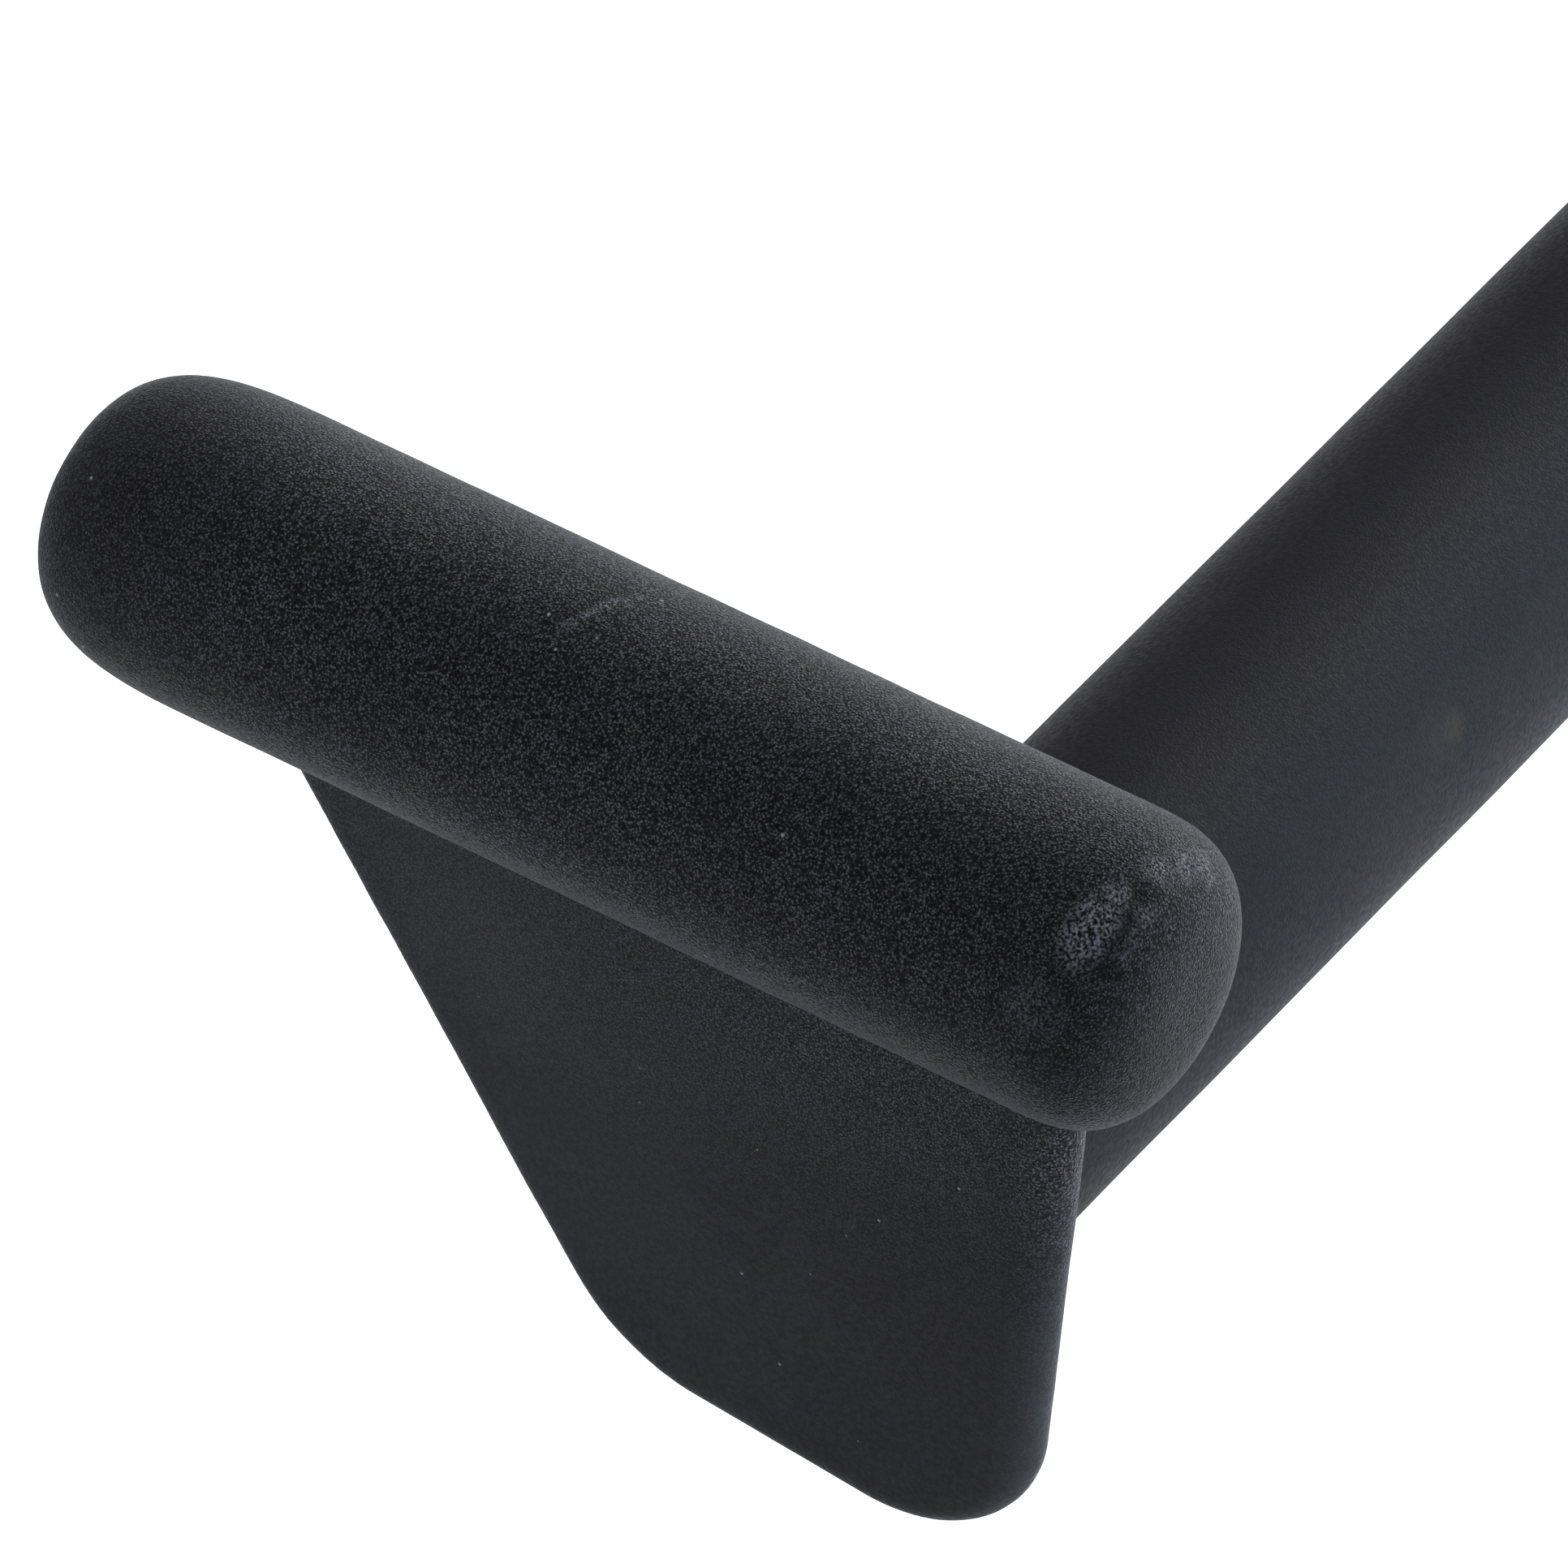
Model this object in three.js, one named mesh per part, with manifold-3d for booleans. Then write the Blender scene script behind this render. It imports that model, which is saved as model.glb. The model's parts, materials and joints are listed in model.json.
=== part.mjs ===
// Cable pull-up bar with two palm-paddle grips and a swivelling hanger eye.
// Millimetres. X runs along the bar, Y along the finger rolls, Z is up.
// The origin is the centre of the hanger eye's hole, so the whole bar hangs below it.

import * as THREE from 'three';
import { mergeVertices } from 'three/addons/utils/BufferGeometryUtils.js';
import Module from 'manifold-3d';

// ---- overall layout, measured from the axis of the bar ----
const GRIP_SPACING = 520;      // between the middle planes of the two paddles
const ROLL_ABOVE_BAR = 60;     // roll axis over bar axis
const ROLL_BEHIND_BAR = 21.1;  // roll middle towards +Y from bar axis

// ---- fits ----
const GAP = 0.3;               // between two pieces that are welded, pressed or moulded together
const RUN = 0.1;               // radial running clearance of the swivel
const COAT = 1.5;              // rubber over the grips' steel
const SLEEVE = 1.2;            // rubber over the bar's steel

// ---- bar ----
const BAR_TUBE_D = 38;
const BAR_TUBE_WALL = 3;

// ---- finger roll ----
const ROLL_D = 35;             // over the rubber
const ROLL_LENGTH = 141.2;     // over the rubber
const ROLL_FRONT_ROUND = 13.3; // length over which the -Y end rounds off
const ROLL_FRONT_POWER = 3;    // 2 is an ellipse, larger is squarer
const ROLL_REAR_ROUND = 25;    // length over which the +Y end rounds off
const ROLL_REAR_POWER = 3.6;
const ROLL_WALL = 2.5;         // steel tube wall
const PLUG_SPIGOT = 7;

// ---- palm paddle, outline over the rubber, in the Y-Z plane about the bar axis ----
const PADDLE_THICK = 7;
const PLATE_THICK = 4;
const PLATE_INSET = 2;         // steel outline inside the rubber outline
const FRONT_EDGE_Y = -33.2;    // front edge at the height of the bar axis
const FRONT_EDGE_LEAN = 5.2;   // degrees, leaning forward going up
const REAR_EDGE_Y = 40.6;
const REAR_EDGE_LEAN = 32.7;   // degrees, leaning back going up
const BOTTOM_EDGE_Z = -30.9;   // bottom edge straight under the bar axis
const BOTTOM_EDGE_FALL = 6.5;  // degrees, falling towards the front
const FRONT_CORNER_R = 19.2;
const REAR_CORNER_R = 23.6;
const RIM_FLAT = 0.3;          // flat left between the two roundings of the rim
const RIM_STEPS = 4;

// ---- swivel ----
const HUB_D = 30;
const HUB_PROUD = 1.3;         // hub end above the rubber sleeve
const SHANK_D = 12;
const BUSH_WALL = 2.4;
const BUSH_LENGTH = 15;
const BUSH_FLANGE_D = 25;
const BUSH_FLANGE = 1.2;
const WASHER_D = 24;
const WASHER_THICK = 1.6;
const COLLAR_D = 24;
const COLLAR_HEIGHT = 5;
const EYE_D = 50;
const EYE_HOLE_D = 26;
const EYE_THICK = 12;
const EYE_BEVEL = 2;
const EYE_SINK = 4;            // ring's lowest point below the collar's top
const NECK_FLARE = 2.5;        // collar's cone beyond the shank's radius
const NUT_WALL = 3.5;          // shank to hexagon flat
const NUT_HEX = 6.5;
const NUT_NECK = 2.5;
const NECK_WALL = 1.3;
const RING_THICK = 2;
const RING_WALL = 1.3;
const BOLT_TIP = 1;

// ---- smoothness ----
const ROUND = 48;              // segments of the large round pieces
const SMALL = 40;              // segments of the swivel's round pieces

// ---- derived ----
const rad = THREE.MathUtils.degToRad;
const barR = BAR_TUBE_D / 2;
const sleeveR = barR + SLEEVE;
const rollR = ROLL_D / 2;
const gripX = GRIP_SPACING / 2;
const rollFront = ROLL_BEHIND_BAR - ROLL_LENGTH / 2;
const rollRear = ROLL_BEHIND_BAR + ROLL_LENGTH / 2;
const hubHalf = sleeveR + HUB_PROUD;
const shankR = SHANK_D / 2;
const bushBore = shankR + RUN;
const bushR = bushBore + BUSH_WALL;
const flangeTop = hubHalf + GAP + BUSH_FLANGE;
const washerTop = flangeTop + GAP + WASHER_THICK;
const collarBase = washerTop + GAP;
const collarTop = collarBase + COLLAR_HEIGHT;
const nutTop = washerTop + GAP;
const nutHeight = NUT_HEX + NUT_NECK;
const nutFlats = SHANK_D + 2 * NUT_WALL;
const pocketR = shankR + RING_WALL + 2 * GAP;
const neckR = pocketR + NECK_WALL;
const eyeCentre = collarBase + COLLAR_HEIGHT + EYE_D / 2 - EYE_SINK;
const edgeRound = (PADDLE_THICK - RIM_FLAT) / 2;

const wasm = await Module();
wasm.setup();

// ---- finishes ----
function finish(color, roughness, metalness) {
  return new THREE.MeshStandardMaterial({ color, roughness, metalness });
}
const rubber = finish(0x232427, 0.62, 0);
const steel = finish(0x8a8c8f, 0.5, 0.9);
const zinc = finish(0xb9bbbe, 0.32, 1);
const bronze = finish(0xa5793f, 0.4, 0.9);
const nylon = finish(0x2f5f9e, 0.55, 0);

// ---- solids ----
function toSolid(geometry) {
  const g = geometry.clone();
  g.deleteAttribute('normal');
  g.deleteAttribute('uv');
  const m = mergeVertices(g, 1e-4);
  return new wasm.Manifold(new wasm.Mesh({
    numProp: 3,
    vertProperties: Float32Array.from(m.attributes.position.array),
    triVerts: Uint32Array.from(m.index.array),
  }));
}

function toGeometry(solid) {
  const mesh = solid.getMesh();
  const g = new THREE.BufferGeometry();
  g.setAttribute('position', new THREE.BufferAttribute(Float32Array.from(mesh.vertProperties), 3));
  g.setIndex(new THREE.BufferAttribute(Uint32Array.from(mesh.triVerts), 1));
  g.computeVertexNormals();
  return g;
}

const join = (a, ...rest) => rest.reduce((sum, b) => sum.add(b), a);
const cut = (a, ...rest) => rest.reduce((left, b) => left.subtract(b), a);

// A closed profile of [radius, along] pairs turned about the local Y axis.
function turned(profile, segments) {
  const points = profile.map(([r, y]) => new THREE.Vector2(Math.max(r, 0), y));
  return new THREE.LatheGeometry(points, segments);
}

function ringProfile(outer, inner, low, high) {
  return [[inner, low], [outer, low], [outer, high], [inner, high], [inner, low]];
}

function rod(radius, low, high, segments) {
  return turned([[0, low], [radius, low], [radius, high], [0, high]], segments);
}

const alongX = (g) => g.rotateZ(-Math.PI / 2);
const alongZ = (g) => g.rotateX(Math.PI / 2);
const bore = (radius, low, high, segments) => toSolid(alongZ(rod(radius, low, high, segments)));

// ---- finger roll, turned about Y through the roll axis ----
// The roll's outline, pulled in by the given amount all round.
function rollProfile(inset) {
  return [...endCurve(true, inset), ...endCurve(false, inset).reverse()];
}

// Superelliptic end of the roll from its tip on the axis out to the full radius.
function endCurve(front, inset) {
  const r = rollR - inset;
  const depth = (front ? ROLL_FRONT_ROUND : ROLL_REAR_ROUND) - inset;
  const bend = 2 / (front ? ROLL_FRONT_POWER : ROLL_REAR_POWER);
  const tip = front ? rollFront + inset : rollRear - inset;
  const dir = front ? 1 : -1;
  const steps = front ? 8 : 10;
  const curve = [[0, tip]];
  for (let i = 1; i <= steps; i++) {
    const a = (i / steps) * Math.PI / 2;
    curve.push([r * Math.sin(a) ** bend, tip + dir * depth * (1 - Math.max(Math.cos(a), 0) ** bend)]);
  }
  return curve;
}

function onRollAxis(g, x) {
  return g.translate(x, 0, ROLL_ABOVE_BAR);
}

function rollSolid(inset, x) {
  return toSolid(onRollAxis(turned(rollProfile(inset), ROUND), x));
}

const rollTubeR = rollR - COAT;
const rollBoreR = rollTubeR - ROLL_WALL;
const frontSeam = rollFront + ROLL_FRONT_ROUND + 2;
const rearSeam = rollRear - ROLL_REAR_ROUND - 2;

function rollTube(x) {
  const profile = ringProfile(rollTubeR, rollBoreR, frontSeam + GAP / 2, rearSeam - GAP / 2);
  return onRollAxis(turned(profile, ROUND), x);
}

// Rounded steel plug that closes one end of the roll's tube.
function rollPlug(x, front) {
  const dir = front ? 1 : -1;
  const seam = (front ? frontSeam : rearSeam) - dir * GAP / 2;
  const spigot = rollBoreR - GAP;
  const profile = [
    ...endCurve(front, COAT),
    [rollTubeR, seam], [spigot, seam], [spigot, seam + dir * PLUG_SPIGOT], [0, seam + dir * PLUG_SPIGOT],
  ];
  return onRollAxis(turned(front ? profile : profile.reverse(), ROUND), x);
}

// ---- palm paddle ----
// Where two outline edges meet. Each edge is a point and a direction in the Y-Z plane.
function meet(a, b) {
  const cross = a.dir.x * b.dir.y - a.dir.y * b.dir.x;
  const dy = b.at.clone().sub(a.at);
  const t = (dy.x * b.dir.y - dy.y * b.dir.x) / cross;
  return a.at.clone().addScaledVector(a.dir, t);
}

// The three free edges, each moved inwards by inset.
function paddleEdges(inset) {
  const edge = (y, z, angle) => {
    const dir = new THREE.Vector2(Math.cos(angle), Math.sin(angle));
    const inward = new THREE.Vector2(-dir.y, dir.x);
    return { at: new THREE.Vector2(y, z).addScaledVector(inward, inset), dir };
  };
  return {
    front: edge(FRONT_EDGE_Y, 0, -Math.PI / 2 + rad(FRONT_EDGE_LEAN)),
    bottom: edge(0, BOTTOM_EDGE_Z, rad(BOTTOM_EDGE_FALL)),
    rear: edge(REAR_EDGE_Y, 0, Math.PI / 2 - rad(REAR_EDGE_LEAN)),
  };
}

// Points of a round corner between two edges, walked from the first edge to the second.
function corner(first, second, radius, steps) {
  const p = meet(first, second);
  const turn = Math.acos(first.dir.dot(second.dir));
  const back = radius * Math.tan(turn / 2);
  const start = p.clone().addScaledVector(first.dir, -back);
  const centre = start.clone().add(new THREE.Vector2(-first.dir.y, first.dir.x).multiplyScalar(radius));
  const points = [];
  for (let i = 0; i <= steps; i++) {
    const arm = start.clone().sub(centre).rotateAround(new THREE.Vector2(), (i / steps) * turn);
    points.push(centre.clone().add(arm));
  }
  return points;
}

// Outline of the paddle, pulled in by inset, open upwards to the height top.
function paddleShape(inset, top) {
  const { front, bottom, rear } = paddleEdges(inset);
  const level = { at: new THREE.Vector2(0, top), dir: new THREE.Vector2(1, 0) };
  return new THREE.Shape([
    meet(front, level),
    ...corner(front, bottom, FRONT_CORNER_R - inset, 10),
    ...corner(bottom, rear, REAR_CORNER_R - inset, 8),
    meet(rear, level),
  ]);
}

// Local x, y of the drawn shape become Y, Z; the drawing's thickness lies along X.
function standUp(g, x) {
  const turn = new THREE.Matrix4().makeBasis(
    new THREE.Vector3(0, 1, 0), new THREE.Vector3(0, 0, 1), new THREE.Vector3(1, 0, 0));
  return g.applyMatrix4(turn).translate(x, 0, 0);
}

function paddleSolid(x) {
  const depth = PADDLE_THICK - 2 * edgeRound;
  const g = new THREE.ExtrudeGeometry(paddleShape(edgeRound, ROLL_ABOVE_BAR - edgeRound), {
    depth, bevelEnabled: true, bevelThickness: edgeRound, bevelSize: edgeRound, bevelSegments: RIM_STEPS,
  });
  return toSolid(standUp(g.translate(0, 0, -depth / 2), x));
}

function slabSolid(inset, thick, top, x) {
  const g = new THREE.ExtrudeGeometry(paddleShape(inset, top), { depth: thick, bevelEnabled: false });
  return toSolid(standUp(g.translate(0, 0, -thick / 2), x));
}

function gripPlate(x) {
  const slab = slabSolid(PLATE_INSET, PLATE_THICK, ROLL_ABOVE_BAR - rollTubeR + 4, x);
  const seat = toSolid(onRollAxis(rod(rollTubeR + GAP, rollFront, rollRear, ROUND), x));
  return toGeometry(cut(slab, seat));
}

// Rubber over paddle and roll, hollow for the steel, open where the bar's tube enters.
function gripCoat(x, inward) {
  const outside = join(paddleSolid(x), rollSolid(0, x));
  const hollow = join(
    slabSolid(PLATE_INSET - GAP, PLATE_THICK + 2 * GAP, ROLL_ABOVE_BAR - rollTubeR + 4, x),
    rollSolid(COAT - GAP, x));
  const entry = toSolid(alongX(rod(barR + GAP, 0, PADDLE_THICK, ROUND))
    .scale(inward, inward, 1).translate(x, 0, 0));
  return toGeometry(cut(outside, hollow, entry));
}

// ---- bar ----
function hubHole() {
  return bore(HUB_D / 2 + GAP, -2 * barR, 2 * barR, SMALL);
}

function mainTube() {
  const end = gripX - PLATE_THICK / 2 - GAP;
  const tube = toSolid(alongX(turned(ringProfile(barR, barR - BAR_TUBE_WALL, -end, end), ROUND)));
  return toGeometry(cut(tube, hubHole()));
}

function barSleeve() {
  const end = gripX - PADDLE_THICK / 2 - GAP;
  const tube = toSolid(alongX(turned(ringProfile(sleeveR, barR + GAP, -end, end), ROUND)));
  return toGeometry(cut(tube, hubHole()));
}

// ---- swivel ----
function swivelHub() {
  return alongZ(turned(ringProfile(HUB_D / 2, bushR + GAP, -hubHalf, hubHalf), SMALL));
}

// Flanged bush; side is +1 for the top of the hub and -1 for the bottom.
function bush(side) {
  const face = hubHalf + GAP;
  const profile = [
    [bushBore, face - BUSH_LENGTH], [bushR, face - BUSH_LENGTH], [bushR, face],
    [BUSH_FLANGE_D / 2, face], [BUSH_FLANGE_D / 2, flangeTop], [bushBore, flangeTop],
    [bushBore, face - BUSH_LENGTH],
  ];
  const g = alongZ(turned(profile, SMALL));
  return side > 0 ? g : g.rotateX(Math.PI);
}

function washer(side) {
  const g = alongZ(turned(
    ringProfile(WASHER_D / 2, shankR + GAP, flangeTop + GAP, washerTop), SMALL));
  return side > 0 ? g : g.rotateX(Math.PI);
}

// Eye with flat cheeks on a turned collar and shank.
function hangerEye() {
  const shape = new THREE.Shape();
  shape.absarc(0, 0, EYE_D / 2 - EYE_BEVEL, 0, 2 * Math.PI);
  const hole = new THREE.Path();
  hole.absarc(0, 0, EYE_HOLE_D / 2 + EYE_BEVEL, 0, 2 * Math.PI, true);
  shape.holes.push(hole);
  const depth = EYE_THICK - 2 * EYE_BEVEL;
  const ring = new THREE.ExtrudeGeometry(shape, {
    depth, bevelThickness: EYE_BEVEL, bevelSize: EYE_BEVEL, bevelSegments: 3, curveSegments: 20,
  }).translate(0, 0, -depth / 2).rotateX(Math.PI / 2).translate(0, 0, eyeCentre);
  const tip = -(nutTop + nutHeight + BOLT_TIP);
  const stem = alongZ(turned([
    [0, tip], [shankR - 1, tip], [shankR, tip + 1], [shankR, collarBase], [COLLAR_D / 2 - 1, collarBase],
    [COLLAR_D / 2, collarBase + 1], [COLLAR_D / 2, collarTop - 1],
    [COLLAR_D / 2 - 1, collarTop], [shankR + NECK_FLARE, collarTop + 1.5],
    [shankR + NECK_FLARE - 1, collarTop + EYE_SINK - 0.5], [0, collarTop + EYE_SINK - 0.5],
  ], SMALL));
  const window = toSolid(new THREE.CylinderGeometry(EYE_HOLE_D / 2, EYE_HOLE_D / 2, 2 * EYE_THICK, SMALL)
    .translate(0, 0, eyeCentre));
  return toGeometry(join(toSolid(ring), cut(toSolid(stem), window)));
}

// Hexagon with a round neck below it that holds the nylon ring.
function lockNut() {
  const hex = toSolid(alongZ(rod(nutFlats / Math.sqrt(3), -nutTop - NUT_HEX, -nutTop, 6)));
  const neck = bore(neckR, -nutTop - nutHeight, -nutTop - NUT_HEX + 1, SMALL);
  const thread = bore(shankR + GAP, -nutTop - nutHeight - 1, -nutTop + 1, SMALL);
  const pocket = bore(pocketR, -nutTop - nutHeight - 1,
    -nutTop - nutHeight + RING_THICK, SMALL);
  return toGeometry(cut(join(hex, neck), thread, pocket));
}

function nutRing() {
  const low = -nutTop - nutHeight;
  return alongZ(turned(
    ringProfile(shankR + GAP + RING_WALL, shankR + GAP, low, low + RING_THICK - GAP), SMALL));
}

// ---- assembly ----
function add(group, name, geometry, material) {
  const mesh = new THREE.Mesh(geometry.translate(0, 0, -eyeCentre), material);
  mesh.name = name;
  group.add(mesh);
}

function addGrip(group, side, x, inward) {
  add(group, `${side}_plate`, gripPlate(x), steel);
  add(group, `${side}_roll_tube`, rollTube(x), steel);
  add(group, `${side}_front_plug`, rollPlug(x, true), steel);
  add(group, `${side}_rear_plug`, rollPlug(x, false), steel);
  add(group, `${side}_grip_coat`, gripCoat(x, inward), rubber);
}

const bar = new THREE.Group();
bar.name = 'pull_up_bar';
add(bar, 'main_tube', mainTube(), steel);
add(bar, 'bar_sleeve', barSleeve(), rubber);
addGrip(bar, 'left', -gripX, 1);
addGrip(bar, 'right', gripX, -1);
add(bar, 'swivel_hub', swivelHub(), steel);
add(bar, 'upper_bush', bush(1), bronze);
add(bar, 'lower_bush', bush(-1), bronze);
add(bar, 'upper_washer', washer(1), zinc);
add(bar, 'lower_washer', washer(-1), zinc);
add(bar, 'hanger_eye', hangerEye(), zinc);
add(bar, 'lock_nut', lockNut(), zinc);
add(bar, 'nut_ring', nutRing(), nylon);

export default bar;
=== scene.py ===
"""Looks of the cable pull-up bar: rubber-coated palm-paddle grips on a round bar with a swivelling eye."""

import json
import math

import bpy
import numpy as np
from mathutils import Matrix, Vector


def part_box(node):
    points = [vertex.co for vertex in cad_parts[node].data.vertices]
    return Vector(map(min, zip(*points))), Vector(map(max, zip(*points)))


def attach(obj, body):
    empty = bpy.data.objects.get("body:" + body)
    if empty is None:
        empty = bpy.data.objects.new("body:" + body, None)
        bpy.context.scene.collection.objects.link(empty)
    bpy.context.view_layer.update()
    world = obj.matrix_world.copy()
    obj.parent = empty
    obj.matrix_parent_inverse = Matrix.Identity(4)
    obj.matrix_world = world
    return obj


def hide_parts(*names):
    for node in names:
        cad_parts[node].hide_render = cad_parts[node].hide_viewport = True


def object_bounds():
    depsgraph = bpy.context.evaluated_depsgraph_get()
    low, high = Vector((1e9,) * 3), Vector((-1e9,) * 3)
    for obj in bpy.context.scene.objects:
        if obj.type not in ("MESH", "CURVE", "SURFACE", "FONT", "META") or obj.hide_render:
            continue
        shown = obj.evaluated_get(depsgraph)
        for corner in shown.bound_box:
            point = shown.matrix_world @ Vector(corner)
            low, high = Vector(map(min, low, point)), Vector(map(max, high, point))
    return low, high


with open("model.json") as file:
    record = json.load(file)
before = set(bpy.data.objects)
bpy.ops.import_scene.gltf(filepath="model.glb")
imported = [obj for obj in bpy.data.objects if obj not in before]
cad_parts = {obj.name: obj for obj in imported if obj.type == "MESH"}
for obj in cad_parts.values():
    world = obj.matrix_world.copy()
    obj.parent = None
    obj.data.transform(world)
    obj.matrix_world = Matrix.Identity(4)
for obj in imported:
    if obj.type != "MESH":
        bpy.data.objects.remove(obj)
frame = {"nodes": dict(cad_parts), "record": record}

cad_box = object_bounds()

MM = 0.001

# ---- sizes that repeat the CAD model's, in metres ----
ROLL_FRONT_ROUND = 13.3 * MM
ROLL_FRONT_POWER = 3.0
ROLL_REAR_ROUND = 25 * MM
ROLL_REAR_POWER = 3.6
PADDLE_THICK = 7 * MM
FRONT_EDGE_Y = -33.2 * MM
FRONT_EDGE_LEAN = math.radians(5.2)
REAR_EDGE_Y = 40.6 * MM
REAR_EDGE_LEAN = math.radians(32.7)
BOTTOM_EDGE_Z = -30.9 * MM
BOTTOM_EDGE_FALL = math.radians(6.5)
FRONT_CORNER_R = 19.2 * MM
REAR_CORNER_R = 23.6 * MM
RIM_ROUND = 3.4 * MM

# ---- the coating ----
FILLET = 5 * MM        # rubber drawn into the corner between roll and paddle
BAR_FLARE = 4 * MM     # rubber drawn out where the bar meets the paddle
NET_STEP = 0.8 * MM    # spacing of the coated grips' mesh

coat_low, coat_high = (np.array(c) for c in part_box("left_grip_coat"))
sleeve_low, sleeve_high = (np.array(c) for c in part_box("bar_sleeve"))
BAR_Z = (sleeve_low[2] + sleeve_high[2]) / 2
BAR_R = (sleeve_high[2] - sleeve_low[2]) / 2
ROLL_R = (coat_high[0] - coat_low[0]) / 2
ROLL_HALF = (coat_high[1] - coat_low[1]) / 2
ROLL_Y = (coat_high[1] + coat_low[1]) / 2
ROLL_Z = coat_high[2] - ROLL_R
GRIP_X = -(coat_high[0] + coat_low[0]) / 2

# Rates of the rubber's patterns, in repeats per metre.
GRAIN_RATE = 4600
PEBBLE_RATE = 3000
GLOSS_RATE = 1500
SPECK_RATE = 330
CLOUD_RATE = 40
FLECK_COLOUR = (0.19, 0.19, 0.23)
SPECK_COLOUR = (0.20, 0.20, 0.19)
STAIN_COLOUR = (0.032, 0.030, 0.022)


# ---------------------------------------------------------------- distance fields
def half_plane(y, z, at, direction):
    """Signed distance to an edge walked along direction, with the inside on its left."""
    normal = (direction[1], -direction[0])
    return (y - at[0]) * normal[0] + (z - at[1]) * normal[1], normal


def round_corner(y, z, first, second, at, radius):
    """Distance to the corner of two edges that meet at a point, rounded to radius."""
    (d1, n1), (d2, n2) = first, second
    turn = math.acos(max(-1.0, min(1.0, n1[0] * n2[0] + n1[1] * n2[1])))
    reach = radius / math.cos(turn / 2)
    mid = np.array([n1[0] + n2[0], n1[1] + n2[1]])
    mid /= np.linalg.norm(mid)
    cy, cz = at[0] - mid[0] * reach, at[1] - mid[1] * reach
    vy, vz = y - cy, z - cz
    inside = (n1[0] * vz - n1[1] * vy >= 0) & (vy * n2[1] - vz * n2[0] >= 0)
    return np.where(inside, np.hypot(vy, vz) - radius, np.maximum(d1, d2))


def meet(a, b):
    """Where two edges, each (point, direction), cross."""
    (ay, az), (adx, adz) = a
    (by, bz), (bdx, bdz) = b
    cross = adx * bdz - adz * bdx
    t = ((by - ay) * bdz - (bz - az) * bdx) / cross
    return ay + adx * t, az + adz * t


def paddle_outline(y, z):
    """Signed distance to the paddle's outline in the Y-Z plane; z is from the bar's axis."""
    front = ((FRONT_EDGE_Y, 0.0), (math.sin(FRONT_EDGE_LEAN), -math.cos(FRONT_EDGE_LEAN)))
    bottom = ((0.0, BOTTOM_EDGE_Z), (math.cos(BOTTOM_EDGE_FALL), math.sin(BOTTOM_EDGE_FALL)))
    rear = ((REAR_EDGE_Y, 0.0), (math.sin(REAR_EDGE_LEAN), math.cos(REAR_EDGE_LEAN)))
    f, b, r = (half_plane(y, z, *edge) for edge in (front, bottom, rear))
    low_front = round_corner(y, z, f, b, meet(front, bottom), FRONT_CORNER_R)
    low_rear = round_corner(y, z, b, r, meet(bottom, rear), REAR_CORNER_R)
    top = z - (ROLL_Z - BAR_Z)
    return np.maximum(np.maximum(low_front, low_rear), top)


def paddle_field(x, y, z):
    """Flat slab with a rounded rim; x is from its middle plane."""
    a = paddle_outline(y, z) + RIM_ROUND
    b = np.abs(x) - (PADDLE_THICK / 2 - RIM_ROUND)
    return np.minimum(np.maximum(a, b), 0) + np.hypot(np.maximum(a, 0), np.maximum(b, 0)) - RIM_ROUND


def roll_field(x, y, z):
    """Round bar with superelliptic ends; x, y, z are from the middle of the roll."""
    depth = np.where(y < 0, ROLL_FRONT_ROUND, ROLL_REAR_ROUND)
    power = np.where(y < 0, ROLL_FRONT_POWER, ROLL_REAR_POWER)
    a = np.maximum(np.abs(y) - (ROLL_HALF - depth), 0) / depth
    b = np.hypot(x, z) / ROLL_R
    size = np.maximum(a ** power + b ** power, 1e-9) ** (1 / power)
    slope = np.hypot((a / size) ** (power - 1) / depth, (b / size) ** (power - 1) / ROLL_R)
    return (size - 1) / np.maximum(slope, 10)


def soft_union(a, b, k):
    """Two fields joined with a fillet of about size k."""
    h = np.maximum(k - np.abs(a - b), 0) / k
    return np.minimum(a, b) - h * h * k / 4


def waves(p, seed, size, count=5):
    """Smooth, even undulation between about -1 and 1 with the given wavelength."""
    rng = np.random.default_rng(seed)
    total = 0
    for _ in range(count):
        way = rng.normal(size=3)
        way *= 2 * math.pi / (size * rng.uniform(0.7, 1.4) * np.linalg.norm(way))
        total = total + np.sin(p @ way + rng.uniform(0, 2 * math.pi))
    return total / count


def dab(p, centre, sizes):
    """A soft spot: 1 at its centre, falling off over sizes (x, y, z)."""
    q = (p - np.array(centre) * MM) / (np.array(sizes) * MM)
    return np.exp(-(q * q).sum(1))


# Marks in the coating of the left grip: (centre, sizes, height), in millimetres.
LEFT_MARKS = [
    ((-269.2, -42.8, 22.6), (3.4, 1.8, 2.8), -0.24),
    ((-262.7, -45.0, 24.2), (1.4, 1.2, 1.4), -0.30),
    ((-266.6, -45.6, 22.4), (1.5, 1.2, 1.6), -0.34),
    ((-269.7, -45.7, 20.2), (1.5, 1.2, 1.8), -0.26),
    ((-265.0, -46.6, 22.0), (2.4, 1.3, 2.0), 0.14),
    ((-276.0, -40.5, 15.4), (3.0, 2.6, 3.2), -0.18),
    ((-256.0, -46.2, 21.0), (5.0, 1.3, 2.2), -0.28),
    ((-255.2, -45.2, 23.6), (4.5, 1.3, 1.8), 0.16),
]
SCUFF = dict(centre=(-260.2, 24.6, 26.3), radius=5.6, width=0.7, depth=0.16)


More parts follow.
